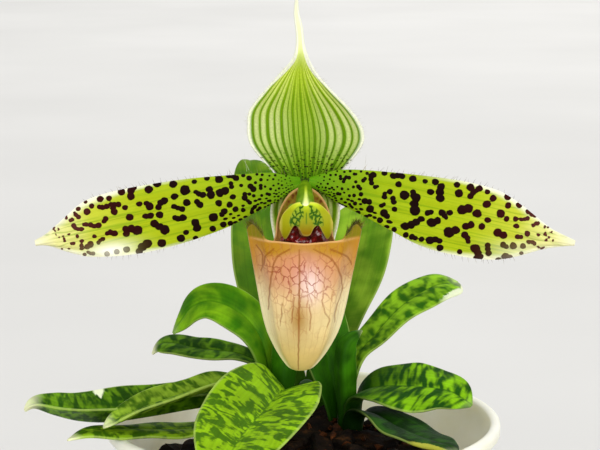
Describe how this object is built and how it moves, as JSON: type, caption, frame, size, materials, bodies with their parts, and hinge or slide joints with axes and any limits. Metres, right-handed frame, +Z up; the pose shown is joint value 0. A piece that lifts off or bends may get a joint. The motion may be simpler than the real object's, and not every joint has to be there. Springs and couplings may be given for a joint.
{
  "type": "potted slipper orchid",
  "caption": "Small slipper orchid in a white pot: a spotted, pouched bloom with a striped back sepal on a stalk above fans of mottled leaves.",
  "frame": {"origin": "middle of the pot's underside, on the surface that the pot stands on", "axes": "+Z up the pot's axis to the bloom, -Y the way the bloom faces, +X to the viewer's right"},
  "size_m": [0.1365, 0.1334, 0.2014],
  "materials": {
    "pot_plastic": "gloss",
    "bark_mix": "matte",
    "root": "matte",
    "flower_stalk": "matte",
    "ovary": "satin",
    "bract": "satin",
    "sepal": "satin",
    "petal": "satin",
    "lip": "satin",
    "column": "satin",
    "leaf": "satin"
  },
  "bodies": {
    "root": {"pot": "pot_plastic", "potting_mix": "bark_mix", "rootstock": "root", "scape": "flower_stalk", "ovary": "ovary", "bract": "bract", "back_sepal": "sepal", "lower_sepal": "sepal", "petal_left": "petal", "petal_right": "petal", "pouched_lip": "lip", "column": "column", "shield": "column", "leaf_left_arching": "leaf", "leaf_front": "leaf", "leaf_left_near": "leaf", "leaf_left_long": "leaf", "leaf_left_low": "leaf", "leaf_centre_young": "leaf", "leaf_right_raised": "leaf", "leaf_right_broad": "leaf", "leaf_right_low": "leaf", "leaf_back_left": "leaf", "leaf_back_right": "leaf", "leaf_back_low": "leaf", "leaf_centre_behind": "leaf", "leaf_left_sheath": "leaf"}
  },
  "joints": []
}
